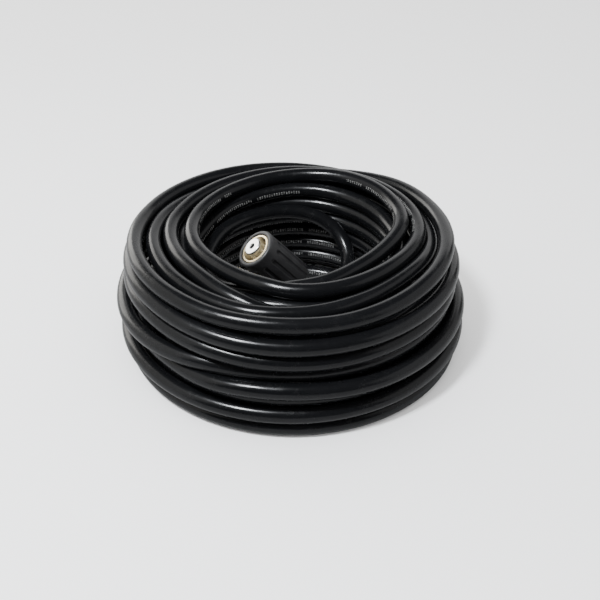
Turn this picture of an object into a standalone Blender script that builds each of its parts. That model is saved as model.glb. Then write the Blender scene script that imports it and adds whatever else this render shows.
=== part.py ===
"""A 20 m pressure washer hose, wound into a standing coil, with a screw coupling on each end.

The coil is one turned solid whose outline is the outline of its wound turns. The two free ends of
the hose are tubes that leave the coil inside its bore and run to the couplings. Each coupling is a
hose tail with a nose pin, an O-ring, a crimped ferrule, a brass swivel nut and a grooved grip sleeve.
Metres, +Z up, the origin on the ground at the coil's axis, and -Y is the front.
"""

import math

import bmesh
import bpy
import numpy
from mathutils import Matrix, Vector

MM = 0.001

# The hose and how it is wound
HOSE_DIAMETER = 12.0 * MM
INNER_TURN_RADIUS = 80.0 * MM
BELLY_TURN_RADIUS = 127.5 * MM
TOP_TURN_RADIUS = 114.0 * MM
BELLY_HEIGHT = 22.0 * MM
LAYERS = 8
LAYER_NESTING = 0.911
COLUMN_NESTING = 0.95
COIL_STEPS = 40

# Clearances
SEAT_GAP = 0.3 * MM
THREAD_RUNNING_GAP = 0.8 * MM

# The hose tail, turned in one piece with its nose pin
PIN_DIAMETER = 14.0 * MM
PIN_BORE = 4.0 * MM
PIN_STAND_OUT = 3.0 * MM
PIN_CHAMFER = 0.8 * MM
COLLAR_FRONT_DEPTH = 13.0 * MM
COLLAR_THICKNESS = 5.0 * MM
NECK_DIAMETER = 14.4 * MM
TAIL_FLANGE_DIAMETER = 17.0 * MM
TAIL_FLANGE_THICKNESS = 3.0 * MM

# The O-ring on the nose pin
O_RING_SECTION = 2.0 * MM
O_RING_DEPTH = 10.4 * MM
O_RING_STAND_OUT = 0.3 * MM

# The brass swivel nut
NUT_DIAMETER = 24.1 * MM
NUT_RECESS = 0.6 * MM
NUT_EDGE = 0.6 * MM
THREAD_MINOR_DIAMETER = 20.4 * MM
NUT_LIP_THICKNESS = 5.7 * MM

# The crimped ferrule
FERRULE_DIAMETER = 17.0 * MM
FERRULE_LENGTH = 16.0 * MM

# The grip sleeve
SLEEVE_FRONT_DIAMETER = 31.5 * MM
SLEEVE_REAR_DIAMETER = 32.4 * MM
SLEEVE_LENGTH = 46.0 * MM
SLEEVE_EDGE = 1.5 * MM
SLEEVE_REAR_CLEARANCE = 0.6 * MM
GROOVES = 12
GROOVE_WIDTH = 3.6 * MM
GROOVE_DEPTH = 1.1 * MM
GROOVE_START = 9.0 * MM

# Coupling a leans in the bore with its mouth up and to the front left
MOUTH_A_LEFT = 28.3 * MM
MOUTH_A_FORWARD = 15.3 * MM
MOUTH_A_HEIGHT = 82.0 * MM
MOUTH_A_DIRECTION = Vector((-0.603, -0.229, 0.766)).normalized()

# Coupling b lies on the ground against the front of the bore, with its mouth to the right
MOUTH_B_DIRECTION = Vector((1.0, 0.0, 0.0))

# The free ends' routes in millimetres, each from behind its coupling towards where it joins the coil
ROUTE_A = [
    (7.0, -3.5, 39.5),
    (21.0, 0.5, 33.0),
    (34.5, 11.0, 30.5),
    (43.0, 25.0, 33.0),
    (45.5, 40.0, 40.0),
    (39.5, 54.0, 50.5),
    (26.0, 62.3, 60.5),
    (9.0, 65.8, 66.0),
    (-24.5, 60.0, 68.5),
    (-53.0, 41.5, 65.5),
    (-65.5, 12.0, 61.5),
]
ROUTE_B = [
    (-33.7, -52.2, 16.2),
    (-43.7, -48.0, 15.4),
    (-52.3, -41.4, 14.3),
    (-59.7, -31.4, 12.7),
    (-66.3, -12.5, 9.8),
    (-66.7, 10.3, 7.1),
]
# Where each route ends against the bore: the angle round the coil, and the layer it lies beside
JOIN_A = (math.radians(-166.0), 5)
JOIN_B = (math.radians(158.0), 0)
TUBE_SPACING = 2.0 * HOSE_DIAMETER
TUBE_BEVEL_RESOLUTION = 3
ROUND_STEPS = 32
EDGE_STEPS = 3
CORNER_MARGIN = math.radians(3.0)


def clear_scene():
    for obj in list(bpy.data.objects):
        bpy.data.objects.remove(obj, do_unlink=True)


def new_collection(name):
    collection = bpy.data.collections.new(name)
    bpy.context.scene.collection.children.link(collection)
    return collection


def material(name, colour, roughness, metallic):
    made = bpy.data.materials.new(name)
    made.use_nodes = True
    shader = made.node_tree.nodes["Principled BSDF"]
    shader.inputs["Base Color"].default_value = (*colour, 1.0)
    shader.inputs["Roughness"].default_value = roughness
    shader.inputs["Metallic"].default_value = metallic
    return made


def hose_rubber(name):
    return material(name, (0.012, 0.012, 0.013), 0.22, 0.0)


def grip_plastic(name):
    return material(name, (0.02, 0.02, 0.021), 0.55, 0.0)


def nut_brass(name):
    return material(name, (0.78, 0.62, 0.32), 0.25, 1.0)


def tail_steel(name):
    return material(name, (0.78, 0.78, 0.76), 0.22, 1.0)


def seal_rubber(name):
    return material(name, (0.015, 0.015, 0.015), 0.5, 0.0)


def link_object(name, data, collection, finish):
    obj = bpy.data.objects.new(name, data)
    collection.objects.link(obj)
    if finish is not None:
        data.materials.append(finish)
    return obj


def turned(name, profile, collection, finish, steps=ROUND_STEPS):
    """A closed profile of (radius, height) turned about Z. It runs down its outer side."""
    mesh = bpy.data.meshes.new(name)
    points = [(radius, 0.0, height) for radius, height in profile]
    loop = [(i, (i + 1) % len(points)) for i in range(len(points))]
    mesh.from_pydata(points, loop, [])
    obj = link_object(name, mesh, collection, finish)
    screw = obj.modifiers.new("turn", "SCREW")
    screw.axis = "Z"
    screw.angle = 2.0 * math.pi
    screw.steps = steps
    screw.render_steps = steps
    screw.use_merge_vertices = True
    screw.merge_threshold = 0.00001
    screw.use_smooth_shade = True
    return obj


def layer_heights():
    pitch = HOSE_DIAMETER * LAYER_NESTING
    return [HOSE_DIAMETER / 2 + layer * pitch for layer in range(LAYERS)]


def outer_turn_radius(height):
    """The outermost turn's radius at a height: widest at the belly, drawn in towards the top."""
    rise = (height - BELLY_HEIGHT) / (layer_heights()[-1] - BELLY_HEIGHT)
    return BELLY_TURN_RADIUS - (BELLY_TURN_RADIUS - TOP_TURN_RADIUS) * rise**2


def row_radii(height):
    """The turns of one layer, from the bore out, spaced evenly and a little into each other."""
    outer = outer_turn_radius(height)
    width = outer - INNER_TURN_RADIUS
    gaps = max(1, round(width / (HOSE_DIAMETER * COLUMN_NESTING)))
    return [INNER_TURN_RADIUS + width * turn / gaps for turn in range(gaps + 1)]


def surface_turns():
    """The turns that show, as (radius, height), once round the section: top, outside, bottom, bore."""
    heights = layer_heights()
    top = [(radius, heights[-1]) for radius in row_radii(heights[-1])]
    outside = [(outer_turn_radius(height), height) for height in reversed(heights[1:-1])]
    bottom = [(radius, heights[0]) for radius in reversed(row_radii(heights[0]))]
    bore = [(INNER_TURN_RADIUS, height) for height in heights[1:-1]]
    return top + outside + bottom + bore


def groove_point(first, second):
    """The bottom of the groove between two neighbouring turns, on the outside of the section."""
    along = Vector(second) - Vector(first)
    outward = Vector((-along.y, along.x)).normalized()
    middle = (Vector(first) + Vector(second)) / 2
    radius = HOSE_DIAMETER / 2
    height = math.sqrt(max(radius**2 - (along.length / 2) ** 2, (0.12 * radius) ** 2))
    return middle + outward * height


def coil_profile():
    """The outline of the wound section, each turn eight-sided with flats facing out and down."""
    turns = surface_turns()
    corner = HOSE_DIAMETER / 2 / math.cos(math.pi / 8)
    profile = []
    for i, turn in enumerate(turns):
        centre = Vector(turn)
        start = groove_point(turns[i - 1], turn)
        end = groove_point(turn, turns[(i + 1) % len(turns)])
        first = math.atan2(*(start - centre).yx)
        sweep = (first - math.atan2(*(end - centre).yx)) % (2 * math.pi)
        profile.append(start)
        passed = [(first - math.pi / 8 - k * math.pi / 4) % (2 * math.pi) for k in range(8)]
        for turned_by in sorted(passed):
            if CORNER_MARGIN < turned_by < sweep - CORNER_MARGIN:
                angle = first - turned_by
                profile.append(centre + corner * Vector((math.cos(angle), math.sin(angle))))
    return [tuple(point) for point in profile]


def make_coil(collection):
    coil = turned("hose_coil", coil_profile(), collection, hose_rubber("coil black"), COIL_STEPS)
    return coil


def spline_points(points, spacing):
    """Points at even spacing on a natural cubic spline through the given points."""
    given = numpy.array([tuple(point) for point in points])
    chord = numpy.linalg.norm(numpy.diff(given, axis=0), axis=1)
    knots = numpy.concatenate([[0.0], numpy.cumsum(chord)])
    count = len(given)
    matrix = numpy.eye(count)
    slopes = numpy.zeros((count, 3))
    for i in range(1, count - 1):
        before = chord[i - 1]
        after = chord[i]
        matrix[i, i - 1 : i + 2] = (before, 2 * (before + after), after)
        slopes[i] = 6 * ((given[i + 1] - given[i]) / after - (given[i] - given[i - 1]) / before)
    bend = numpy.linalg.solve(matrix, slopes)

    def at(distance):
        i = min(int(numpy.searchsorted(knots, distance, side="right")) - 1, count - 2)
        step = chord[i]
        left = (knots[i + 1] - distance) / step
        right = 1 - left
        curve = left * given[i] + right * given[i + 1]
        return curve + step**2 / 6 * ((left**3 - left) * bend[i] + (right**3 - right) * bend[i + 1])

    pieces = max(2, round(knots[-1] / spacing))
    return [Vector(at(knots[-1] * i / pieces)) for i in range(pieces + 1)]


def make_tube(name, points, collection, finish):
    curve = bpy.data.curves.new(name, "CURVE")
    curve.dimensions = "3D"
    curve.bevel_depth = HOSE_DIAMETER / 2
    curve.bevel_resolution = TUBE_BEVEL_RESOLUTION
    curve.use_fill_caps = True
    spline = curve.splines.new("POLY")
    spline.points.add(len(points) - 1)
    for slot, point in zip(spline.points, points):
        slot.co = (*point, 1.0)
    return link_object(name, curve, collection, finish)


def tail_rear_depth():
    return collar_rear_depth() + SEAT_GAP + NUT_LIP_THICKNESS + SEAT_GAP + TAIL_FLANGE_THICKNESS


def collar_rear_depth():
    return COLLAR_FRONT_DEPTH + COLLAR_THICKNESS


def nut_rear_depth():
    return collar_rear_depth() + SEAT_GAP + NUT_LIP_THICKNESS


def hose_start_depth():
    return tail_rear_depth() + SEAT_GAP


def bore_radius():
    """The clear radius inside the coil, at the middle of a flat."""
    return (INNER_TURN_RADIUS - HOSE_DIAMETER / 2) * math.cos(math.pi / COIL_STEPS)


def joining_point(join):
    """The place beside a layer's innermost turn, with a seat gap between the two."""
    angle, layer = join
    radius = bore_radius() - SEAT_GAP - HOSE_DIAMETER / 2
    return Vector((radius * math.cos(angle), radius * math.sin(angle), layer_heights()[layer]))


def mouth_of_a():
    return Vector((-MOUTH_A_LEFT, -MOUTH_A_FORWARD, MOUTH_A_HEIGHT))


def mouth_of_b():
    """The sleeve's two far corners stand a seat gap inside the bore, and its side on the ground."""
    reach = SLEEVE_LENGTH / 2
    side = math.sqrt((bore_radius() - SEAT_GAP) ** 2 - reach**2)
    radius = max(SLEEVE_FRONT_DIAMETER, SLEEVE_REAR_DIAMETER) / 2
    return Vector((reach, radius - side, radius + SEAT_GAP))


def free_end_points(mouth, direction, route, join):
    """The straight start inside the coupling, then the route through its chosen points."""
    start = mouth - direction * hose_start_depth()
    behind = mouth - direction * SLEEVE_LENGTH
    chosen = [Vector(point) * MM for point in route]
    bend = spline_points([behind] + chosen + [joining_point(join)], TUBE_SPACING)
    return [start] + bend


def tail_profile():
    pin = PIN_DIAMETER / 2
    bore = PIN_BORE / 2
    collar = THREAD_MINOR_DIAMETER / 2 - THREAD_RUNNING_GAP
    neck = NECK_DIAMETER / 2
    flange = TAIL_FLANGE_DIAMETER / 2
    groove = pin + O_RING_STAND_OUT - O_RING_SECTION - SEAT_GAP
    half_groove = O_RING_SECTION / 2 + SEAT_GAP
    flange_front = tail_rear_depth() - TAIL_FLANGE_THICKNESS
    return [
        (bore, PIN_STAND_OUT),
        (pin - PIN_CHAMFER, PIN_STAND_OUT),
        (pin, PIN_STAND_OUT - PIN_CHAMFER),
        (pin, -O_RING_DEPTH + half_groove),
        (groove, -O_RING_DEPTH + half_groove),
        (groove, -O_RING_DEPTH - half_groove),
        (pin, -O_RING_DEPTH - half_groove),
        (pin, -COLLAR_FRONT_DEPTH),
        (collar, -COLLAR_FRONT_DEPTH),
        (collar, -collar_rear_depth()),
        (neck, -collar_rear_depth()),
        (neck, -flange_front),
        (flange, -flange_front),
        (flange, -tail_rear_depth()),
        (bore, -tail_rear_depth()),
    ]


def nut_profile():
    outside = NUT_DIAMETER / 2
    thread = THREAD_MINOR_DIAMETER / 2
    lip = NECK_DIAMETER / 2 + SEAT_GAP
    lip_front = collar_rear_depth() + SEAT_GAP
    return [
        (thread + NUT_EDGE, -NUT_RECESS),
        (outside - NUT_EDGE / 2, -NUT_RECESS),
        (outside, -NUT_RECESS - NUT_EDGE / 2),
        (outside, -nut_rear_depth()),
        (lip, -nut_rear_depth()),
        (lip, -lip_front),
        (thread, -lip_front),
        (thread, -NUT_RECESS - NUT_EDGE),
    ]


def ferrule_profile():
    outside = FERRULE_DIAMETER / 2
    bore = HOSE_DIAMETER / 2 + SEAT_GAP
    front = tail_rear_depth() + SEAT_GAP
    rear = front + FERRULE_LENGTH
    return [(outside, -front), (outside, -rear), (bore, -rear), (bore, -front)]


def sleeve_profile():
    front = SLEEVE_FRONT_DIAMETER / 2
    rear = SLEEVE_REAR_DIAMETER / 2
    seat = NUT_DIAMETER / 2 + SEAT_GAP
    step = nut_rear_depth() + SEAT_GAP
    throat = max(TAIL_FLANGE_DIAMETER, FERRULE_DIAMETER) / 2 + SLEEVE_REAR_CLEARANCE
    profile = [(seat, 0.0)]
    for i in range(EDGE_STEPS + 1):
        angle = math.pi / 2 * i / EDGE_STEPS
        out = front - SLEEVE_EDGE + SLEEVE_EDGE * math.sin(angle)
        profile.append((out, -SLEEVE_EDGE + SLEEVE_EDGE * math.cos(angle)))
    for i in range(EDGE_STEPS + 1):
        angle = math.pi / 2 * i / EDGE_STEPS
        out = rear - SLEEVE_EDGE + SLEEVE_EDGE * math.cos(angle)
        profile.append((out, SLEEVE_EDGE - SLEEVE_LENGTH - SLEEVE_EDGE * math.sin(angle)))
    profile += [(throat, -SLEEVE_LENGTH), (throat, -step), (seat, -step)]
    return profile


def groove_cutter(name, collection):
    """All the sleeve's lengthwise grooves as one set of round bars, open at the sleeve's rear."""
    made = bmesh.new()
    bar = GROOVE_WIDTH / 2
    front = SLEEVE_FRONT_DIAMETER / 2
    length = SLEEVE_LENGTH - GROOVE_START + bar
    lean = math.atan2((SLEEVE_REAR_DIAMETER - SLEEVE_FRONT_DIAMETER) / 2, SLEEVE_LENGTH)
    for i in range(GROOVES):
        turn = Matrix.Rotation(2 * math.pi * (i + 0.5) / GROOVES, 4, "Z")
        out = Matrix.Translation((front + bar - GROOVE_DEPTH, 0.0, -GROOVE_START))
        place = turn @ out @ Matrix.Rotation(-lean, 4, "Y") @ Matrix.Translation((0, 0, -length / 2))
        bmesh.ops.create_cone(
            made, cap_ends=True, segments=10, radius1=bar, radius2=bar, depth=length, matrix=place
        )
    mesh = bpy.data.meshes.new(name)
    made.to_mesh(mesh)
    made.free()
    cutter = link_object(name, mesh, collection, None)
    cutter.hide_render = True
    cutter.display_type = "WIRE"
    return cutter


def cut(obj, cutter):
    boolean = obj.modifiers.new("grooves", "BOOLEAN")
    boolean.operation = "DIFFERENCE"
    boolean.solver = "EXACT"
    boolean.object = cutter


def make_o_ring(name, collection, finish):
    middle = PIN_DIAMETER / 2 + O_RING_STAND_OUT - O_RING_SECTION / 2
    bpy.ops.mesh.primitive_torus_add(
        major_radius=middle,
        minor_radius=O_RING_SECTION / 2,
        major_segments=ROUND_STEPS,
        minor_segments=8,
        location=(0.0, 0.0, 0.0),
    )
    ring = bpy.context.object
    ring.name = name
    ring.data.transform(Matrix.Translation((0.0, 0.0, -O_RING_DEPTH)))
    ring.data.materials.append(finish)
    for other in list(ring.users_collection):
        other.objects.unlink(ring)
    collection.objects.link(ring)
    return ring


def make_coupling(letter, mouth, direction, parts, cutters):
    """One coupling, with its mouth's centre as the origin of every piece and its bore along Z."""
    place = bpy.data.objects.new("coupling_place_" + letter, None)
    parts.objects.link(place)
    place.location = mouth
    place.rotation_mode = "QUATERNION"
    place.rotation_quaternion = direction.to_track_quat("Z", "Y")
    tail = turned("nose_pin_" + letter, tail_profile(), parts, tail_steel("tail steel " + letter))
    nut = turned("swivel_nut_" + letter, nut_profile(), parts, nut_brass("nut brass " + letter))
    ferrule = turned(
        "crimp_ferrule_" + letter, ferrule_profile(), parts, tail_steel("ferrule steel " + letter)
    )
    sleeve = turned("grip_sleeve_" + letter, sleeve_profile(), parts, grip_plastic("grip black " + letter))
    cutter = groove_cutter("grip_grooves_" + letter, cutters)
    cut(sleeve, cutter)
    ring = make_o_ring("o_ring_" + letter, parts, seal_rubber("seal black " + letter))
    for piece in (tail, nut, ferrule, sleeve, cutter, ring):
        piece.parent = place
    return place


def main():
    clear_scene()
    parts = new_collection("pressure_washer_hose")
    cutters = new_collection("cutters")
    make_coil(parts)
    mouth_a = mouth_of_a()
    mouth_b = mouth_of_b()
    inner = free_end_points(mouth_a, MOUTH_A_DIRECTION, ROUTE_A, JOIN_A)
    outer = free_end_points(mouth_b, MOUTH_B_DIRECTION, ROUTE_B, JOIN_B)
    make_tube("hose_inner_end", inner, parts, hose_rubber("inner end black"))
    make_tube("hose_outer_end", outer, parts, hose_rubber("outer end black"))
    make_coupling("a", mouth_a, MOUTH_A_DIRECTION, parts, cutters)
    make_coupling("b", mouth_b, MOUTH_B_DIRECTION, parts, cutters)


main()
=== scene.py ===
"""Dresses the pressure washer hose: the wound hose, its two screw couplings, a floor, lights and a camera.

The coil stands on the ground with its axis up. Lengths are metres where a name doesn't say otherwise.
"""

import math

import bmesh
import bpy
import numpy as np
from mathutils import Matrix, Vector


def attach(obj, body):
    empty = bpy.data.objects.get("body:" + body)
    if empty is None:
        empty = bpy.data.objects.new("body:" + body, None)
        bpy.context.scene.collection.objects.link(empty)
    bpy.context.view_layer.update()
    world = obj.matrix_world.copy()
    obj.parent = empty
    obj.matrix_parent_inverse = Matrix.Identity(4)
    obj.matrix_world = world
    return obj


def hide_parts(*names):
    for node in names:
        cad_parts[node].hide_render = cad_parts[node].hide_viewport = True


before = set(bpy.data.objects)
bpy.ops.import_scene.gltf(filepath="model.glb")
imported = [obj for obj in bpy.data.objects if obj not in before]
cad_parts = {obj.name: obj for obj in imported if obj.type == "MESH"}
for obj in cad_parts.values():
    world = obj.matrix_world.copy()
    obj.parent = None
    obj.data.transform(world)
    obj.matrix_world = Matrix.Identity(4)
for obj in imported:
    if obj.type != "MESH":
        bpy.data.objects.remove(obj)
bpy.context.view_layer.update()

MM = 0.001

# ---------------------------------------------------------------- camera, floor and lights

CAMERA_PLACE = Vector((0.0, -0.5376, 0.40535))
CAMERA_AIM = Vector((0.0, 0.0, 0.04))
LENS_MM = 49.8
SENSOR_MM = 36.0
FRAME_SHIFT = (0.012, -0.0275)

WORLD_STRENGTH = 0.9
PLAIN_LIGHT = (1.0, 1.0, 1.0)
COOL_LIGHT = (0.93, 0.96, 1.0)
WARM_LIGHT = (1.0, 0.985, 0.94)
COIL_FRONT = (0.0, -0.08, 0.05)
COIL_MIDDLE = (0.0, 0.0, 0.1)
# Each panel of light: name, place, what it faces, width, height, watts, colour
PANELS = [
    ("key_softbox", (-0.45, -0.44, 1.2), COIL_FRONT, 0.14, 0.2, 30.0, COOL_LIGHT),
    ("back_panel", (0.0, 2.2, 0.8), COIL_MIDDLE, 4.4, 1.5, 30.0, PLAIN_LIGHT),
    ("left_panel", (-1.9, 0.0, 1.05), COIL_MIDDLE, 3.0, 2.3, 24.0, WARM_LIGHT),
    ("back_left_panel", (-2.0, 1.9, 0.8), COIL_MIDDLE, 1.6, 1.6, 36.0, WARM_LIGHT),
    ("right_panel", (1.9, 0.0, 0.9), COIL_MIDDLE, 3.0, 2.0, 14.0, PLAIN_LIGHT),
]
FLOOR_FILL = ("floor_fill", (0.0, 0.0, 2.4), (0.0, 0.0, 0.0), 3.0, 3.0, 45.0, PLAIN_LIGHT)
FLOOR_REACH = 20.0


def aim(obj, target):
    """Turns a camera or light so that it looks at a place."""
    obj.rotation_mode = "QUATERNION"
    obj.rotation_quaternion = (target - obj.location).to_track_quat("-Z", "Y")


def set_camera():
    lens = bpy.data.cameras.new("studio_camera")
    lens.lens = LENS_MM
    lens.sensor_width = SENSOR_MM
    lens.shift_x, lens.shift_y = FRAME_SHIFT
    lens.clip_start = 0.01
    camera = bpy.data.objects.new("studio_camera", lens)
    bpy.context.scene.collection.objects.link(camera)
    camera.location = CAMERA_PLACE
    aim(camera, CAMERA_AIM)
    bpy.context.scene.camera = camera


def softbox(name, place, target, width, height, watts, colour):
    light = bpy.data.lights.new(name, "AREA")
    light.shape = "RECTANGLE"
    light.size = width
    light.size_y = height
    light.energy = watts
    light.color = colour
    obj = bpy.data.objects.new(name, light)
    bpy.context.scene.collection.objects.link(obj)
    obj.location = Vector(place)
    aim(obj, Vector(target))
    return obj


def set_studio():
    """Soft light all round. The world and the fill light the floor without showing in the gloss."""
    world = bpy.data.worlds.new("studio_air")
    bpy.context.scene.world = world
    world.use_nodes = True
    background = world.node_tree.nodes["Background"]
    background.inputs["Color"].default_value = (*PLAIN_LIGHT, 1.0)
    background.inputs["Strength"].default_value = WORLD_STRENGTH
    world.cycles_visibility.glossy = False
    for panel in PANELS:
        softbox(*panel)
    fill = softbox(*FLOOR_FILL)
    fill.visible_glossy = False


# ---------------------------------------------------------------- the hose, how it is wound

HOSE_DIAMETER_MM = 12.0
STATIONS = 72
STEP = 360.0 / STATIONS
TURN_CLEARANCE_MM = 11.75
GROUND_TURN_HEIGHT_MM = HOSE_DIAMETER_MM / 2
RING_SPACING_MM = 5.7
HOSE_SIDES = 24

# Turns that lie on top, each key (degrees walked round the coil, radius, height in millimetres)
TOP_TURNS = [
    (194, 67.5, 60.7), (215, 66.5, 64), (235, 66, 70), (252, 65.8, 76.3), (270, 65.5, 80.3),
    (288, 65, 82), (302, 64, 83), (315, 63.5, 83.5), (325, 65, 84), (338, 68.5, 85),
    (350, 74, 86.5), (360, 80, 88), (372, 85, 89.5), (390, 88, 91), (420, 89.5, 92.3),
    (440, 88.5, 90.5), (460, 86.5, 88.5), (480, 84, 87), (500, 81.5, 86), (520, 79, 85.5),
    (540, 76, 85), (560, 71.5, 84.5), (575, 68.8, 84.5), (590, 68, 84.5), (605, 69, 84.5),
    (620, 72.5, 84.5), (634, 77, 84.3), (655, 79.5, 84.5), (675, 81.5, 84.8), (690, 84.5, 85),
    (705, 89, 85), (720, 95, 84.5), (740, 99, 85), (765, 101, 86), (810, 100, 86),
    (855, 97, 84.5), (900, 92, 83), (920, 86.5, 82.5), (940, 84, 81.8), (960, 86, 80),
    (975, 88, 77), (990, 90.5, 73.8), (1005, 92.5, 71.5), (1020, 94, 70.5), (1080, 94, 71),
    (1125, 100, 73), (1170, 105.5, 74), (1207, 107, 78), (1240, 106, 81.5), (1260, 105, 82),
    (1280, 101.5, 82), (1300, 99.5, 82),
    (1325, 99, 81.5), (1350, 98, 81), (1380, 94, 80.5), (1395, 93, 80), (1410, 94.5, 79.5),
    (1425, 99, 78.5), (1440, 103.5, 77.5), (1470, 108, 77), (1500, 111.5, 80), (1530, 113.5, 82.5),
    (1575, 115.5, 84), (1620, 118, 85), (1656, 116.5, 86.8), (1671, 116, 86.3), (1681, 115.5, 85),
    (1696, 114.5, 84.5), (1712, 114, 84), (1728, 114, 83.7), (1746, 114, 85.4), (1768, 114, 87.5),
    (1800, 114.3, 87),
]
# Turns on the outside, one row lower each time round
OUTER_TURNS = [
    (1845, 118, 80.5), (1890, 121, 74), (1935, 121.5, 73.5), (1980, 121, 74.5),
    (2019, 121, 75.5), (2033, 121, 74), (2057, 120.5, 71.5), (2088, 120.3, 71.3), (2118, 120, 71.2),
    (2160, 119.5, 69.5), (2205, 120, 65), (2250, 122, 62.5), (2295, 122, 62.5), (2340, 122, 63.5),
    (2379, 122, 64.8), (2393, 122, 63.3), (2417, 120.5, 59.3), (2447, 120.3, 59), (2474, 120, 60.5),
    (2520, 118, 58), (2565, 120, 54), (2610, 124, 51), (2655, 128, 46), (2700, 129.3, 43.5),
    (2735, 128, 45.3), (2753, 124, 47), (2766, 119.5, 46.5), (2777, 116.8, 47.3), (2792, 116, 47.2),
    (2820, 116, 47.5), (2845, 116, 48.5), (2880, 117, 46.5), (2925, 118, 43), (2970, 119, 40),
    (3015, 119, 35), (3060, 119.5, 31.5), (3090, 120, 31.5), (3104, 121.5, 35.5), (3117, 124, 37.5),
    (3137, 126, 39.3), (3152, 126, 39.3), (3166, 126, 38), (3200, 126.2, 37.2), (3240, 126.5, 36.5),
    (3285, 125.5, 33), (3330, 124, 29), (3375, 121, 25.5), (3420, 117.5, 22.5), (3465, 117.5, 24.5),
    (3510, 119, 28.3), (3555, 119.5, 28.3), (3600, 119.5, 27.5), (3645, 122, 24), (3690, 125.5, 19.5),
    (3735, 127.5, 18.5), (3780, 128.5, 18), (3824, 127.5, 18.8), (3857, 125.5, 17.8), (3887, 125.8, 18.4),
    (3918, 126.5, 19.2), (3960, 127.3, 18.8), (4005, 127, 14), (4050, 125.5, 8.5), (4095, 124.5, 6),
    (4140, 124, 6), (4230, 123.8, 6), (4320, 123.5, 6), (4380, 118, 6), (4410, 113.5, 6),
]
# Turns inside the coil, side by side in two columns that climb from the ground
HIDDEN_SIDES = (108.5, 95.5, 95.5, 108.5, 108.5, 95.5, 95.5, 108.5, 108.5, 95.5)
HIDDEN_START = 4470
HIDDEN_TURN = 372
HIDDEN_STRAIGHT = 250
HIDDEN_ROW_MM = 11.2
HIDDEN_END = [(8200, 101, 61), (8450, 102, 62), (8600, 97, 62), (8730, 93, 63.5), (8780, 88, 68)]
# The first turn of the bore's wall, in degrees from its start; the next ones sink evenly to the ground
BORE_START = 8820
BORE_TURN = [
    (0, 82.5, 73.5), (45, 81.5, 73), (90, 81, 73), (135, 80.5, 73.5), (180, 80, 76),
    (240, 80.5, 80.5), (270, 80, 80.5), (300, 80, 76), (330, 80.5, 67.5),
]
BORE_TURNS = 6
# From the last turn of the wall along the ground to free end b
BORE_END = [
    (0, 81, 6), (135, 80.5, 6), (180, 79, 6), (215, 74.5, 6), (240, 71, 6), (270, 69, 6), (338, 67.5, 6),
]
# How the turns bed in: rounds, the hidden turns' first unevenness and its seed, and the outermost line
SETTLE_ROUNDS = 300
UNEVENNESS_MM = 0.5
UNEVENNESS_SEED = 5
OUTERMOST_MM = 129.5
# For the hidden turns, the outer turns at the back and the turns that show: how easily a turn is pushed
# aside, and how firmly it is held to its keys. Then how fast the hidden turns and the others straighten
GIVES = (1.0, 0.5, 0.12)
HELD = (0.02, 0.08, 0.25)
STRAIGHTENS = (0.5, 0.15)
BACK_FROM = 15
BACK_TO = 165

# The two free ends, each from behind its coupling to the bore's wall, in millimetres
COUPLING_A_MOUTH = Vector((-28.3, -15.3, 82.0)) * MM
COUPLING_A_DIRECTION = Vector((-0.602156, -0.228679, 0.764928)).normalized()
COUPLING_B_MOUTH = Vector((23.0, -53.579, 16.5)) * MM
COUPLING_B_DIRECTION = Vector((1.0, 0.0, 0.0))
FREE_END_A = [
    (7.0, -3.5, 39.5), (21.0, 0.5, 33.0), (34.5, 11.0, 30.5), (43.0, 25.0, 33.0), (45.5, 40.0, 40.0),
    (39.5, 54.0, 50.5), (26.0, 62.3, 60.5), (9.0, 65.8, 66.0), (-24.5, 60.0, 68.5), (-53.0, 41.5, 65.5),
    (-65.5, 12.0, 61.5),
]
FREE_END_B = [
    (-33.7, -52.2, 16.2), (-43.7, -48.0, 15.4), (-52.3, -41.4, 14.3), (-59.7, -31.4, 12.7),
    (-66.3, -12.5, 9.8), (-66.7, 10.3, 7.1),
]
SLEEVE_LENGTH_MM = 46.0
HOSE_START_DEPTH_MM = 27.6


def winding_keys():
    """All the keys of the winding in order, and the walked angles between which the turns are hidden."""
    keys = TOP_TURNS + OUTER_TURNS
    for turn, radius in enumerate(HIDDEN_SIDES):
        start = HIDDEN_START + turn * HIDDEN_TURN
        height = GROUND_TURN_HEIGHT_MM + HIDDEN_ROW_MM * (turn // 2)
        keys += [(start, radius, height), (start + HIDDEN_STRAIGHT, radius, height)]
    keys += HIDDEN_END
    for turn in range(BORE_TURNS):
        for angle, radius, height in BORE_TURN:
            sunk = (height - GROUND_TURN_HEIGHT_MM) * (1 - turn / BORE_TURNS)
            keys.append((BORE_START + 360 * turn + angle, radius, GROUND_TURN_HEIGHT_MM + sunk))
    last = BORE_START + 360 * BORE_TURNS
    keys += [(last + angle, radius, height) for angle, radius, height in BORE_END]
    return np.array(keys, float), (OUTER_TURNS[-2][0] - 20.0, float(BORE_START))


def eased(keys, walked):
    """Radius and height at each walked angle, on a smooth line through the keys."""
    angle = keys[:, 0]
    spot = keys[:, 1:]
    gap = np.diff(angle)[:, None]
    slope = np.diff(spot, axis=0) / gap
    lean = np.zeros_like(spot)
    lean[1:-1] = (slope[:-1] * gap[1:] + slope[1:] * gap[:-1]) / (gap[:-1] + gap[1:])
    lean[0] = slope[0]
    lean[-1] = slope[-1]
    i = np.clip(np.searchsorted(angle, walked, side="right") - 1, 0, len(angle) - 2)
    t = ((walked - angle[i]) / (angle[i + 1] - angle[i]))[:, None]
    near = (2 * t**3 - 3 * t**2 + 1) * spot[i] + (t**3 - 2 * t**2 + t) * gap[i] * lean[i]
    far = (3 * t**2 - 2 * t**3) * spot[i + 1] + (t**3 - t**2) * gap[i] * lean[i + 1]
    return near + far


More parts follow.
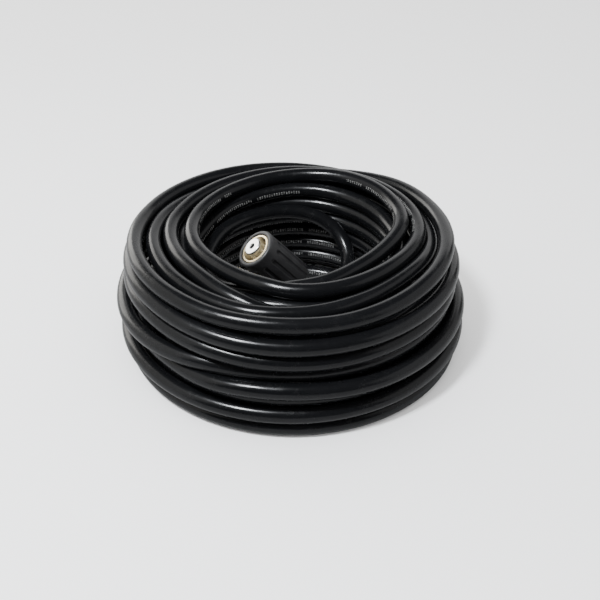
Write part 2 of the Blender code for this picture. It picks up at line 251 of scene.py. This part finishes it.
def push_apart(spot, index, pairs, both, mobility):
    """Moves turns that lie closer than a hose's width apart, in each upright cut through the coil."""
    first, second = pairs
    cut = spot[index]
    between = cut[second] - cut[first]
    distance = np.maximum(np.linalg.norm(between, axis=-1), 1e-6)
    overlap = np.where(both, np.clip(TURN_CLEARANCE_MM - distance, 0, None), 0)
    gives = mobility[index]
    share = 0.8 * overlap / (gives[first] + gives[second]) / distance
    push = between * share[..., None]
    move = np.zeros(cut.shape)
    np.add.at(move, second, push * gives[second][..., None])
    np.add.at(move, first, -push * gives[first][..., None])
    return spot + move.reshape(-1, 2)[: len(spot)]


def settle(walked, planned, hidden):
    """Lets the turns bed into each other: the hidden ones move freely, the ones that show hardly."""
    random = np.random.default_rng(UNEVENNESS_SEED)
    at_back = (walked % 360 > BACK_FROM) & (walked % 360 < BACK_TO)
    outer_back = ~hidden & at_back & (walked > TOP_TURNS[-1][0])
    mobility = np.where(hidden, GIVES[0], np.where(outer_back, GIVES[1], GIVES[2]))
    hold = np.where(hidden, HELD[0], np.where(outer_back, HELD[1], HELD[2]))[:, None]
    ease = np.where(hidden, STRAIGHTENS[0], STRAIGHTENS[1])[1:-1, None]
    turns = math.ceil(len(walked) / STATIONS)
    index = np.full((turns, STATIONS), -1)
    index.ravel()[: len(walked)] = np.arange(len(walked))
    pairs = np.triu_indices(turns, 1)
    both = (index >= 0)[pairs[0]] & (index >= 0)[pairs[1]]
    spot = planned.copy()
    spot[hidden] += random.normal(0, UNEVENNESS_MM, (int(hidden.sum()), 2))
    for _ in range(SETTLE_ROUNDS):
        for _ in range(3):
            spot[1:-1] += ((spot[:-2] + spot[2:]) / 2 - spot[1:-1]) * ease
        spot += hold * (planned - spot)
        for _ in range(4):
            spot = push_apart(spot, index, pairs, both, mobility)
            spot[:, 1] = np.maximum(spot[:, 1], GROUND_TURN_HEIGHT_MM)
            spot[:, 0] = np.minimum(spot[:, 0], OUTERMOST_MM)
    return spot


def smooth_line(points, spacing):
    """Points at even spacing on a natural cubic spline through the given points."""
    given = np.array([tuple(point) for point in points], float)
    chord = np.linalg.norm(np.diff(given, axis=0), axis=1)
    knots = np.concatenate([[0.0], np.cumsum(chord)])
    inner = np.arange(1, len(given) - 1)
    matrix = np.eye(len(given))
    matrix[inner, inner - 1] = chord[:-1]
    matrix[inner, inner] = 2 * (chord[:-1] + chord[1:])
    matrix[inner, inner + 1] = chord[1:]
    kink = np.zeros_like(given)
    slope = np.diff(given, axis=0) / chord[:, None]
    kink[1:-1] = 6 * np.diff(slope, axis=0)
    bend = np.linalg.solve(matrix, kink)
    at = np.linspace(0.0, knots[-1], round(knots[-1] / spacing) + 1)
    i = np.clip(np.searchsorted(knots, at, side="right") - 1, 0, len(given) - 2)
    step = chord[i][:, None]
    left = ((knots[i + 1] - at) / chord[i])[:, None]
    right = 1 - left
    line = left * given[i] + right * given[i + 1]
    return line + step**2 / 6 * ((left**3 - left) * bend[i] + (right**3 - right) * bend[i + 1])


def hose_line():
    """The hose's centreline in metres, from inside coupling a, round the coil, to inside coupling b."""
    keys, (hidden_from, hidden_to) = winding_keys()
    walked = np.arange(keys[0, 0], keys[-1, 0] + 0.01, STEP)
    walked[-1] = keys[-1, 0]
    hidden = (walked > hidden_from) & (walked < hidden_to)
    spot = settle(walked, eased(keys, walked), hidden)
    angle = np.radians(walked)
    radius = spot[:, 0]
    wound = np.stack([radius * np.cos(angle), radius * np.sin(angle), spot[:, 1]], axis=-1)

    depths = (HOSE_START_DEPTH_MM, SLEEVE_LENGTH_MM)
    start = [COUPLING_A_MOUTH / MM - COUPLING_A_DIRECTION * depth for depth in depths]
    end = [COUPLING_B_MOUTH / MM - COUPLING_B_DIRECTION * depth for depth in reversed(depths)]
    points = start + FREE_END_A + list(wound) + FREE_END_B[::-1] + end
    return smooth_line(points, RING_SPACING_MM) * MM


# ---------------------------------------------------------------- finishes

def node(tree, kind, **settings):
    made = tree.nodes.new(kind)
    for name, value in settings.items():
        setattr(made, name, value)
    return made


def new_finish(name, colour, roughness, metallic=0.0):
    finish = bpy.data.materials.new(name)
    finish.use_nodes = True
    shader = finish.node_tree.nodes["Principled BSDF"]
    shader.inputs["Base Color"].default_value = (*colour, 1.0)
    shader.inputs["Roughness"].default_value = roughness
    shader.inputs["Metallic"].default_value = metallic
    return finish, finish.node_tree, shader


def noise(tree, vector, scale, detail=3.0, roughness=0.5):
    made = node(tree, "ShaderNodeTexNoise")
    made.inputs["Scale"].default_value = scale
    made.inputs["Detail"].default_value = detail
    made.inputs["Roughness"].default_value = roughness
    tree.links.new(vector, made.inputs["Vector"])
    return made.outputs["Fac"]


def stretched(tree, vector, scale):
    made = node(tree, "ShaderNodeMapping")
    made.inputs["Scale"].default_value = scale
    tree.links.new(vector, made.inputs["Vector"])
    return made.outputs["Vector"]


def ranged(tree, value, low, high, from_low=0.0, from_high=1.0):
    made = node(tree, "ShaderNodeMapRange")
    made.inputs["From Min"].default_value = from_low
    made.inputs["From Max"].default_value = from_high
    made.inputs["To Min"].default_value = low
    made.inputs["To Max"].default_value = high
    tree.links.new(value, made.inputs["Value"])
    return made.outputs["Result"]


def worked(tree, operation, first, second=None):
    made = node(tree, "ShaderNodeMath", operation=operation)
    for socket, value in zip(made.inputs, (first, second)):
        if value is None:
            continue
        if isinstance(value, (int, float)):
            socket.default_value = value
        else:
            tree.links.new(value, socket)
    return made.outputs[0]


def mixed(tree, factor, first, second):
    made = node(tree, "ShaderNodeMix", data_type="RGBA")
    tree.links.new(factor, made.inputs["Factor"])
    for socket, colour in ((made.inputs["A"], first), (made.inputs["B"], second)):
        if isinstance(colour, tuple):
            socket.default_value = (*colour, 1.0)
        else:
            tree.links.new(colour, socket)
    return made.outputs["Result"]


def bumped(tree, shader, height, strength, distance, after=None):
    made = node(tree, "ShaderNodeBump")
    made.inputs["Strength"].default_value = strength
    made.inputs["Distance"].default_value = distance
    tree.links.new(height, made.inputs["Height"])
    if after is not None:
        tree.links.new(after, made.inputs["Normal"])
    tree.links.new(made.outputs["Normal"], shader.inputs["Normal"])
    return made.outputs["Normal"]


def object_place(tree):
    return node(tree, "ShaderNodeTexCoord").outputs["Object"]


def own_map(tree, name):
    return node(tree, "ShaderNodeUVMap", uv_map=name).outputs["UV"]


# The printed row: the pitch of its ticks and of their groups in metres, each with the share that is
# printed, and the row's half width as a share of the way round
TICK_PITCH = 0.0022
TICK_SHARE = 0.55
GROUP_PITCH = 0.0462
GROUP_SHARE = 0.9
ROW_HALF_WIDTH = 0.03
# The print comes in a short run and a long one, again every half metre, from just before the hose's start
RUN_PITCH = 0.5
RUN_START = 0.01
SHORT_RUN_SHARE = 0.16
LONG_RUN_MIDDLE = 0.56
LONG_RUN_HALF = 0.18


def repeated(tree, along, pitch):
    """How far along its stretch a point is, 0 to 1, where a pattern comes again at every pitch."""
    return worked(tree, "FRACT", worked(tree, "MULTIPLY", along, 1 / pitch))


def within(tree, value, middle, half):
    away = worked(tree, "ABSOLUTE", worked(tree, "SUBTRACT", value, middle))
    return worked(tree, "LESS_THAN", away, half)


def tick_print(tree, mapped):
    """Where the hose is printed: a row of ticks in groups and runs, worn through in places."""
    split = node(tree, "ShaderNodeSeparateXYZ")
    tree.links.new(mapped, split.inputs["Vector"])
    along = split.outputs["X"]
    in_row = within(tree, split.outputs["Y"], 0.5, ROW_HALF_WIDTH)
    tick = worked(tree, "LESS_THAN", repeated(tree, along, TICK_PITCH), TICK_SHARE)
    group = worked(tree, "LESS_THAN", repeated(tree, along, GROUP_PITCH), GROUP_SHARE)
    in_run = repeated(tree, worked(tree, "ADD", along, RUN_START), RUN_PITCH)
    long_run = within(tree, in_run, LONG_RUN_MIDDLE, LONG_RUN_HALF)
    run = worked(tree, "ADD", long_run, worked(tree, "LESS_THAN", in_run, SHORT_RUN_SHARE))
    worn = noise(tree, stretched(tree, mapped, (420.0, 60.0, 1.0)), 1.0)
    printed = worked(tree, "MULTIPLY", in_row, tick)
    for share in (group, run, ranged(tree, worn, 0.0, 1.0, 0.4, 0.56)):
        printed = worked(tree, "MULTIPLY", printed, share)
    return printed


def hose_cover_black():
    """Glossy extruded cover: faint waves along it, patches of dust and a worn row of length ticks."""
    finish, tree, shader = new_finish("hose_cover_black", (0.004, 0.004, 0.0045), 0.18)
    shader.inputs["Specular IOR Level"].default_value = 0.28
    place = object_place(tree)
    mapped = own_map(tree, "hose_map")
    printed = tick_print(tree, mapped)

    cloudy = ranged(tree, noise(tree, place, 14.0, 4.0), 0.0, 1.0, 0.35, 0.65)
    dust = ranged(tree, noise(tree, place, 160.0, 5.0, 0.65), 0.0, 1.0, 0.52, 0.78)
    cover = mixed(tree, cloudy, (0.0028, 0.003, 0.0034), (0.0044, 0.0046, 0.0052))
    cover = mixed(tree, worked(tree, "MULTIPLY", dust, 0.045), cover, (0.035, 0.035, 0.033))
    colour = mixed(tree, worked(tree, "MULTIPLY", printed, 0.4), cover, (0.3, 0.3, 0.29))
    tree.links.new(colour, shader.inputs["Base Color"])

    streaky = noise(tree, stretched(tree, mapped, (9.0, 3.0, 1.0)), 4.0)
    matt = ranged(tree, streaky, 0.18, 0.26, 0.3, 0.7)
    matt = worked(tree, "ADD", matt, worked(tree, "MULTIPLY", dust, 0.12))
    matt = worked(tree, "ADD", matt, worked(tree, "MULTIPLY", printed, 0.3))
    tree.links.new(matt, shader.inputs["Roughness"])

    waves = noise(tree, stretched(tree, mapped, (34.0, 5.0, 1.0)), 1.0, 2.0)
    first = bumped(tree, shader, waves, 0.35, 0.0006)
    grain = noise(tree, place, 1400.0, 2.0)
    bumped(tree, shader, grain, 0.12, 0.00005, first)
    return finish


def grip_plastic():
    """Satin moulded plastic with a fine sparked grain and slightly shinier patches here and there."""
    finish, tree, shader = new_finish("grip_plastic_black", (0.02, 0.02, 0.021), 0.42)
    place = object_place(tree)
    grain = noise(tree, place, 1900.0, 3.0, 0.6)
    cloudy = noise(tree, place, 70.0, 4.0)
    lengthwise = noise(tree, stretched(tree, own_map(tree, "turned_map"), (70.0, 260.0, 1.0)), 1.0, 3.0)
    shade = ranged(tree, cloudy, 0.0, 1.0, 0.3, 0.7)
    colour = mixed(tree, shade, (0.012, 0.012, 0.0125), (0.021, 0.021, 0.022))
    tree.links.new(colour, shader.inputs["Base Color"])
    matt = worked(tree, "ADD", ranged(tree, cloudy, 0.34, 0.46), ranged(tree, lengthwise, -0.04, 0.08))
    tree.links.new(matt, shader.inputs["Roughness"])
    bumped(tree, shader, grain, 0.35, 0.00008)
    return finish


def machined_metal(name, bright, dull, roughness, tarnish, line_depth):
    """Turned metal: fine tool lines round its axis, a little tarnish and handling marks."""
    finish, tree, shader = new_finish(name, bright, roughness, 1.0)
    place = object_place(tree)
    turned = own_map(tree, "turned_map")
    lines = noise(tree, stretched(tree, turned, (1.5, 9000.0, 1.0)), 1.0, 2.0)
    marks = noise(tree, place, 420.0, 5.0, 0.7)
    cloudy = noise(tree, place, 90.0, 4.0, 0.6)
    aged = worked(tree, "MULTIPLY", ranged(tree, cloudy, 0.0, 1.0, 0.42, 0.72), tarnish)
    tree.links.new(mixed(tree, aged, bright, dull), shader.inputs["Base Color"])
    matt = ranged(tree, marks, roughness - 0.05, roughness + 0.1, 0.3, 0.75)
    matt = worked(tree, "ADD", matt, worked(tree, "MULTIPLY", aged, 0.2))
    tree.links.new(matt, shader.inputs["Roughness"])
    first = bumped(tree, shader, lines, 0.4, line_depth)
    bumped(tree, shader, marks, 0.1, 0.00003, first)
    return finish


def nut_brass():
    """Pale machined brass with a little tarnish."""
    return machined_metal("nut_brass", (0.95, 0.82, 0.55), (0.62, 0.47, 0.24), 0.26, 0.6, 0.00004)


def tail_steel():
    """Bright plated steel, hardly worn."""
    return machined_metal("tail_steel", (0.93, 0.93, 0.92), (0.62, 0.62, 0.61), 0.2, 0.4, 0.00003)


def seal_rubber():
    """Black rubber with a slightly uneven bloom."""
    finish, tree, shader = new_finish("seal_rubber_black", (0.015, 0.015, 0.015), 0.45)
    place = object_place(tree)
    tree.links.new(ranged(tree, noise(tree, place, 900.0, 4.0), 0.34, 0.56), shader.inputs["Roughness"])
    bumped(tree, shader, noise(tree, place, 2600.0, 2.0), 0.2, 0.00003)
    return finish


def floor_white():
    """Plain white floor, dimmer in the hose's gloss than to the eye."""
    finish, tree, shader = new_finish("floor_white", (0.9, 0.9, 0.9), 0.6)
    shade = noise(tree, object_place(tree), 3.0, 2.0)
    lit = mixed(tree, shade, (0.9, 0.9, 0.9), (0.92, 0.92, 0.92))
    mirrored = node(tree, "ShaderNodeLightPath").outputs["Is Glossy Ray"]
    tree.links.new(mixed(tree, mirrored, lit, (0.3, 0.3, 0.3)), shader.inputs["Base Color"])
    return finish


# ---------------------------------------------------------------- making pieces

def plain_object(name, mesh):
    obj = bpy.data.objects.new(name, mesh)
    bpy.context.scene.collection.objects.link(obj)
    return obj


def hose_tree():
    """Geometry nodes: a round tube along a line of points, its ends closed."""
    tree = bpy.data.node_groups.new("wound_hose", "GeometryNodeTree")
    face = tree.interface
    face.new_socket("Line", in_out="INPUT", socket_type="NodeSocketGeometry")
    face.new_socket("Hose radius", in_out="INPUT", socket_type="NodeSocketFloat")
    face.new_socket("Sides", in_out="INPUT", socket_type="NodeSocketInt")
    face.new_socket("Finish", in_out="INPUT", socket_type="NodeSocketMaterial")
    face.new_socket("Hose", in_out="OUTPUT", socket_type="NodeSocketGeometry")
    given = tree.nodes.new("NodeGroupInput")
    made = tree.nodes.new("NodeGroupOutput")
    to_curve = tree.nodes.new("GeometryNodeMeshToCurve")
    upright = tree.nodes.new("GeometryNodeSetCurveNormal")
    upright.mode = "Z_UP"
    ring = tree.nodes.new("GeometryNodeCurvePrimitiveCircle")
    tube = tree.nodes.new("GeometryNodeCurveToMesh")
    tube.inputs["Fill Caps"].default_value = True
    smooth = tree.nodes.new("GeometryNodeSetShadeSmooth")
    real = tree.nodes.new("GeometryNodeRealizeInstances")
    painted = tree.nodes.new("GeometryNodeSetMaterial")
    link = tree.links.new
    link(given.outputs["Line"], to_curve.inputs["Mesh"])
    link(to_curve.outputs["Curve"], upright.inputs["Curve"])
    link(given.outputs["Hose radius"], ring.inputs["Radius"])
    link(given.outputs["Sides"], ring.inputs["Resolution"])
    link(upright.outputs["Curve"], tube.inputs["Curve"])
    link(ring.outputs["Curve"], tube.inputs["Profile Curve"])
    link(tube.outputs["Mesh"], smooth.inputs["Geometry"])
    link(smooth.outputs["Geometry"], real.inputs["Geometry"])
    link(real.outputs["Geometry"], painted.inputs["Geometry"])
    link(given.outputs["Finish"], painted.inputs["Material"])
    link(painted.outputs["Geometry"], made.inputs["Hose"])
    return tree


def through_nodes(name, mesh, tree, inputs):
    """A plain mesh object made by a geometry nodes tree from a mesh, with the modifier gone."""
    source = plain_object(name + "_line", mesh)
    modifier = source.modifiers.new("nodes", "NODES")
    modifier.node_group = tree
    for item in tree.interface.items_tree:
        if item.item_type == "SOCKET" and item.in_out == "INPUT" and item.name in inputs:
            modifier[item.identifier] = inputs[item.name]
    bpy.context.view_layer.update()
    evaluated = source.evaluated_get(bpy.context.evaluated_depsgraph_get())
    result = bpy.data.meshes.new_from_object(evaluated)
    result.name = name
    bpy.data.objects.remove(source, do_unlink=True)
    return plain_object(name, result)


# Where the print faces, as (metres along, degrees up from straight out of the coil)
PRINT_FACES = [
    (0.0, 280), (0.3, 260), (0.42, 200), (0.5, 166), (0.76, 162), (0.86, 170), (0.95, 135),
    (1.07, 130), (1.14, 235), (4.5, 230), (4.75, 70), (4.95, 60), (5.2, 200), (6.0, 230),
    (15.8, 230), (16.4, 178), (16.75, 168), (17.1, 235), (17.6, 235), (18.0, 160), (20.0, 152),
]


def lay_hose_map(mesh, line):
    """The hose's own map: metres along it, and how far round it from the opposite of its print."""
    along = np.concatenate([[0.0], np.cumsum(np.linalg.norm(np.diff(line, axis=0), axis=1))])
    tangent = np.gradient(line, axis=0)
    tangent /= np.linalg.norm(tangent, axis=1)[:, None]
    side = np.cross(tangent, (0.0, 0.0, 1.0))
    side /= np.linalg.norm(side, axis=1)[:, None]
    up = np.cross(side, tangent)
    given = np.array(PRINT_FACES, float)
    faces = np.radians(np.interp(along, given[:, 0], given[:, 1]))
    count = len(mesh.vertices)
    spot = np.empty(count * 3)
    mesh.vertices.foreach_get("co", spot)
    spot = spot.reshape(-1, 3)
    ring = np.minimum(np.arange(count) // HOSE_SIDES, len(line) - 1)
    out = spot - line[ring]
    angle = np.arctan2((out * up[ring]).sum(1), (out * side[ring]).sum(1))
    turn = ((angle - faces[ring]) / (2 * math.pi) + 0.5) % 1.0
    corner = np.empty(len(mesh.loops), np.int64)
    mesh.loops.foreach_get("vertex_index", corner)
    uv = np.stack([along[ring[corner]], turn[corner]], axis=-1)
    for face in mesh.polygons:
        if face.loop_total == 4:
            part = uv[face.loop_start : face.loop_start + 4, 1]
            if part.max() - part.min() > 0.5:
                part[part < 0.5] += 1.0
    layer = mesh.uv_layers.new(name="hose_map")
    layer.data.foreach_set("uv", uv.ravel())


def make_hose(line):
    mesh = bpy.data.meshes.new("hose_line")
    edges = [(i, i + 1) for i in range(len(line) - 1)]
    mesh.from_pydata([tuple(point) for point in line], edges, [])
    inputs = {
        "Hose radius": HOSE_DIAMETER_MM / 2 * MM,
        "Sides": HOSE_SIDES,
        "Finish": hose_cover_black(),
    }
    hose = through_nodes("wound_hose", mesh, hose_tree(), inputs)
    lay_hose_map(hose.data, line)
    return hose


def revolved(name, profile, steps, finish, shaped=None, sharp=30.0):
    """A closed profile of (radius, height) in millimetres turned about Z, with its own map.

    shaped(radius, height, angle) may change a point's radius as it goes round.
    """
    count = len(profile)
    lengths = [0.0]
    for i in range(count):
        here = Vector(profile[i])
        following = Vector(profile[(i + 1) % count])
        lengths.append(lengths[-1] + (following - here).length)
    made = bmesh.new()
    rows = []
    for k in range(steps):
        angle = 2 * math.pi * k / steps
        row = []
        for radius, height in profile:
            if shaped is not None:
                radius = shaped(radius, height, angle)
            place = Vector((radius * math.cos(angle), radius * math.sin(angle), height)) * MM
            row.append(made.verts.new(place))
        rows.append(row)
    layer = made.loops.layers.uv.new("turned_map")
    for k in range(steps):
        for i in range(count):
            j = (i + 1) % count
            corners = (rows[k][i], rows[(k + 1) % steps][i], rows[(k + 1) % steps][j], rows[k][j])
            maps = ((k, i), (k + 1, i), (k + 1, i + 1), (k, i + 1))
            face = made.faces.new(corners)
            face.smooth = True
            for loop, (around, down) in zip(face.loops, maps):
                loop[layer].uv = (around / steps, lengths[down] * MM)
    bmesh.ops.recalc_face_normals(made, faces=made.faces)
    mesh = bpy.data.meshes.new(name)
    made.to_mesh(mesh)
    made.free()
    mesh.set_sharp_from_angle(angle=math.radians(sharp))
    mesh.materials.append(finish)
    return mesh


# ---------------------------------------------------------------- the couplings, in millimetres

PIN_RADIUS = 7.0
PIN_BORE_RADIUS = 2.0
PIN_STAND_OUT = 3.0
PIN_CHAMFER = 0.8
COLLAR_FRONT = 13.0
COLLAR_REAR = 18.0
COLLAR_RADIUS = 9.4
NECK_RADIUS = 7.2
FLANGE_RADIUS = 8.5
FLANGE_FRONT = 24.3
FLANGE_REAR = 27.3
O_RING_DEPTH = 10.4
O_RING_SIDES = 16
O_RING_RADIUS = 1.0
O_RING_MIDDLE = 6.3
GROOVE_FLOOR_RADIUS = 5.0
GROOVE_PLAY = 0.3
EDGE_BREAK = 0.15
NUT_RADIUS = 12.05
NUT_RECESS = 0.6
THREAD_MINOR_RADIUS = 10.2
THREAD_DEPTH = 0.8
THREAD_PITCH = 1.5
THREAD_END = 12.4
THREAD_ROWS = 8
MOUTH_CHAMFER = 0.5
LIP_FRONT = 18.3
LIP_REAR = 24.0
LIP_RADIUS = 7.5
FERRULE_RADIUS = 8.5
FERRULE_REAR = 43.6
FERRULE_BORE = 6.3
FERRULE_STEPS = 36
CRIMP_BANDS = (-31.2, -35.6, -40.0)
CRIMP_HALF_WIDTH = 1.7
SLEEVE_FRONT_RADIUS = 15.75
SLEEVE_REAR_RADIUS = 16.2
SLEEVE_EDGE = 1.5
SLEEVE_SEAT = 12.35
SLEEVE_THROAT = 9.1
SLEEVE_SEAT_REAR = 24.3
SLEEVE_STEPS = 44
GROOVES = 12
GROOVE_WIDTH = 3.6
GROOVE_DEPTH = 1.1
GROOVE_START = 9.0
# How many sides the turned pieces have
TURNED_SIDES = 72
FINE_SIDES = 96
SLEEVE_SIDES = GROOVES * 18


def rounded_corner(centre, radius, start, end, steps=4):
    """Points on a quarter round, from one direction to the other, in degrees."""
    points = []
    for i in range(steps + 1):
        angle = math.radians(start + (end - start) * i / steps)
        points.append((centre[0] + radius * math.cos(angle), centre[1] + radius * math.sin(angle)))
    return points


def tail_profile():
    """The hose tail from its bore's mouth, over the pin, the ring's groove and the collar, to its flange."""
    groove_front = -O_RING_DEPTH + O_RING_RADIUS + GROOVE_PLAY
    groove_rear = -O_RING_DEPTH - O_RING_RADIUS - GROOVE_PLAY
    profile = [(PIN_BORE_RADIUS, PIN_STAND_OUT - 0.5), (PIN_BORE_RADIUS + 0.5, PIN_STAND_OUT)]
    profile += [(PIN_RADIUS - PIN_CHAMFER - 0.9, PIN_STAND_OUT)]
    profile += rounded_corner((PIN_RADIUS - PIN_CHAMFER, PIN_STAND_OUT - PIN_CHAMFER), PIN_CHAMFER, 90, 0)
    profile += [(PIN_RADIUS, groove_front + EDGE_BREAK), (PIN_RADIUS - EDGE_BREAK, groove_front)]
    profile += [(GROOVE_FLOOR_RADIUS, groove_front), (GROOVE_FLOOR_RADIUS, groove_rear)]
    profile += [(PIN_RADIUS - EDGE_BREAK, groove_rear), (PIN_RADIUS, groove_rear - EDGE_BREAK)]
    profile += [(PIN_RADIUS, -COLLAR_FRONT), (COLLAR_RADIUS - 0.4, -COLLAR_FRONT)]
    profile += [(COLLAR_RADIUS, -COLLAR_FRONT - 0.4), (COLLAR_RADIUS, -COLLAR_REAR + 0.2)]
    profile += [(COLLAR_RADIUS - 0.2, -COLLAR_REAR), (NECK_RADIUS, -COLLAR_REAR)]
    profile += [(NECK_RADIUS, -FLANGE_FRONT), (FLANGE_RADIUS - 0.3, -FLANGE_FRONT)]
    profile += [(FLANGE_RADIUS, -FLANGE_FRONT - 0.3), (FLANGE_RADIUS, -FLANGE_REAR + 0.3)]
    profile += [(FLANGE_RADIUS - 0.3, -FLANGE_REAR), (PIN_BORE_RADIUS, -FLANGE_REAR)]
    return profile


def nut_profile():
    """The inside runs up to the mouth in fine steps, so that the thread can be cut into it."""
    fine = round((THREAD_END - NUT_RECESS) / THREAD_PITCH * THREAD_ROWS)
    relief = THREAD_MINOR_RADIUS + 0.9
    profile = [(THREAD_MINOR_RADIUS + 0.25, -NUT_RECESS)]
    profile += rounded_corner((NUT_RADIUS - 0.4, -NUT_RECESS - 0.4), 0.4, 90, 0, 3)
    profile += [(NUT_RADIUS, -LIP_REAR + 0.3), (NUT_RADIUS - 0.3, -LIP_REAR)]
    profile += [(LIP_RADIUS + 0.2, -LIP_REAR), (LIP_RADIUS, -LIP_REAR + 0.2)]
    profile += [(LIP_RADIUS, -LIP_FRONT), (relief, -LIP_FRONT), (relief, -THREAD_END - 1.5)]
    profile += [(THREAD_MINOR_RADIUS, -THREAD_END - 0.6)]
    for i in range(fine + 1):
        profile.append((THREAD_MINOR_RADIUS, -THREAD_END + (THREAD_END - NUT_RECESS - 0.2) * i / fine))
    return profile


def threaded(radius, height, angle):
    """Cuts a right-handed thread into the nut's inside, running out at the mouth's chamfer."""
    if radius != THREAD_MINOR_RADIUS or height < -THREAD_END:
        return radius
    phase = (height / THREAD_PITCH - angle / (2 * math.pi)) % 1.0
    cut = max(0.0, min(1.0, 1.6 * (1 - abs(2 * phase - 1)) - 0.3))
    run_out = min(1.0, (height + THREAD_END) / THREAD_PITCH)
    chamfer = max(0.0, height + NUT_RECESS + MOUTH_CHAMFER)
    return max(radius + THREAD_DEPTH * cut * run_out, radius + 0.8 * chamfer)


def ferrule_profile():
    """A plain sleeve in fine steps, so that the jaw marks can be pressed into it."""
    front = -FLANGE_REAR - 0.3
    profile = [(FERRULE_BORE, front), (FERRULE_RADIUS - 0.4, front), (FERRULE_RADIUS, front - 0.4)]
    length = FERRULE_REAR + front - 0.9
    for i in range(1, FERRULE_STEPS):
        profile.append((FERRULE_RADIUS, front - 0.4 - length * i / FERRULE_STEPS))
    profile += [(FERRULE_RADIUS - 0.1, -FERRULE_REAR + 0.3), (FERRULE_RADIUS - 0.5, -FERRULE_REAR)]
    profile += [(FERRULE_BORE + 0.5, -FERRULE_REAR), (FERRULE_BORE, -FERRULE_REAR + 0.6)]
    return profile


def crimped(radius, height, angle):
    """Presses three bands of jaw marks into the ferrule."""
    if radius != FERRULE_RADIUS:
        return radius
    press = 0.0
    for band in CRIMP_BANDS:
        near = max(0.0, 1 - ((height - band) / CRIMP_HALF_WIDTH) ** 2)
        press = max(press, near**0.5)
    return radius - press * (0.55 + 0.12 * math.cos(8 * angle))


def sleeve_profile():
    """The grip from its rim, along its side in fine steps for the hollows, to its throat and its seat."""
    front = SLEEVE_FRONT_RADIUS
    rear = SLEEVE_REAR_RADIUS
    profile = [(SLEEVE_SEAT, -0.4), (SLEEVE_SEAT + 0.4, 0.0)]
    profile += rounded_corner((front - SLEEVE_EDGE, -SLEEVE_EDGE), SLEEVE_EDGE, 90, 0, 5)
    top = -SLEEVE_EDGE
    bottom = SLEEVE_EDGE - SLEEVE_LENGTH_MM
    for i in range(1, SLEEVE_STEPS):
        part = i / SLEEVE_STEPS
        profile.append((front + (rear - front) * part, top + (bottom - top) * part))
    profile += rounded_corner((rear - SLEEVE_EDGE, bottom), SLEEVE_EDGE, 0, -90, 5)
    profile += [(SLEEVE_THROAT + 0.5, -SLEEVE_LENGTH_MM), (SLEEVE_THROAT, -SLEEVE_LENGTH_MM + 0.5)]
    profile += [(SLEEVE_THROAT, -SLEEVE_SEAT_REAR), (SLEEVE_SEAT, -SLEEVE_SEAT_REAR)]
    return profile


def grooved(radius, height, angle):
    """Hollows the sleeve's side lengthwise, with a rounded start behind the rim."""
    if radius < SLEEVE_FRONT_RADIUS - SLEEVE_EDGE + 0.3:
        return radius
    pitch = 2 * math.pi / GROOVES
    off = (angle - math.pi / GROOVES + pitch / 2) % pitch - pitch / 2
    across = abs(off) * SLEEVE_FRONT_RADIUS / (GROOVE_WIDTH / 2)
    short = max(0.0, height + GROOVE_START + GROOVE_WIDTH / 2) / (GROOVE_WIDTH / 2)
    away = math.hypot(across, short)
    if away >= 1.0:
        return radius
    return radius - GROOVE_DEPTH * min(1.0, 1.25 * math.sqrt(1 - away**2))


def ring_profile():
    """The O-ring's round section."""
    profile = []
    for i in range(O_RING_SIDES):
        angle = -2 * math.pi * i / O_RING_SIDES
        radius = O_RING_MIDDLE + O_RING_RADIUS * math.cos(angle)
        profile.append((radius, -O_RING_DEPTH + O_RING_RADIUS * math.sin(angle)))
    return profile


def make_coupling(letter, mouth, direction, finishes):
    """One screw coupling's five pieces, each standing for its node, with its mouth where the node's is."""
    place = Matrix.Translation(mouth) @ direction.to_track_quat("Z", "Y").to_matrix().to_4x4()
    grip, brass, steel, rubber = finishes
    body = "coupling_nut_" + letter
    plan = [
        ("nose_pin", "hose", "tail_steel",
         revolved("turned_tail_" + letter, tail_profile(), TURNED_SIDES, steel)),
        ("crimp_ferrule", "hose", "tail_steel",
         revolved("pressed_ferrule_" + letter, ferrule_profile(), FINE_SIDES, steel, crimped)),
        ("o_ring", "hose", "seal",
         revolved("sealing_ring_" + letter, ring_profile(), TURNED_SIDES, rubber)),
        ("swivel_nut", body, "nut_brass",
         revolved("brass_nut_" + letter, nut_profile(), FINE_SIDES, brass, threaded, 40.0)),
        ("grip_sleeve", body, "grip",
         revolved("grooved_sleeve_" + letter, sleeve_profile(), SLEEVE_SIDES, grip, grooved, 50.0)),
    ]
    pieces = []
    for cad_name, body_name, slot_name, mesh in plan:
        mesh.transform(place)
        piece = plain_object(mesh.name, mesh)
        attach(piece, body_name)
        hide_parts(cad_name + "_" + letter)
        pieces.append(piece)
    return pieces


def make_floor():
    mesh = bpy.data.meshes.new("studio_floor")
    far = FLOOR_REACH
    corners = [(-far, -far, 0), (far, -far, 0), (far, far, 0), (-far, far, 0)]
    mesh.from_pydata(corners, [], [(0, 1, 2, 3)])
    mesh.materials.append(floor_white())
    plain_object("studio_floor", mesh)


set_camera()
set_studio()
make_floor()

line = hose_line()
hose = make_hose(line)
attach(hose, "hose")
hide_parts("hose_coil", "hose_inner_end", "hose_outer_end")

coupling_finishes = (grip_plastic(), nut_brass(), tail_steel(), seal_rubber())
make_coupling("a", COUPLING_A_MOUTH, COUPLING_A_DIRECTION, coupling_finishes)
coupling_b = make_coupling("b", COUPLING_B_MOUTH, COUPLING_B_DIRECTION, coupling_finishes)
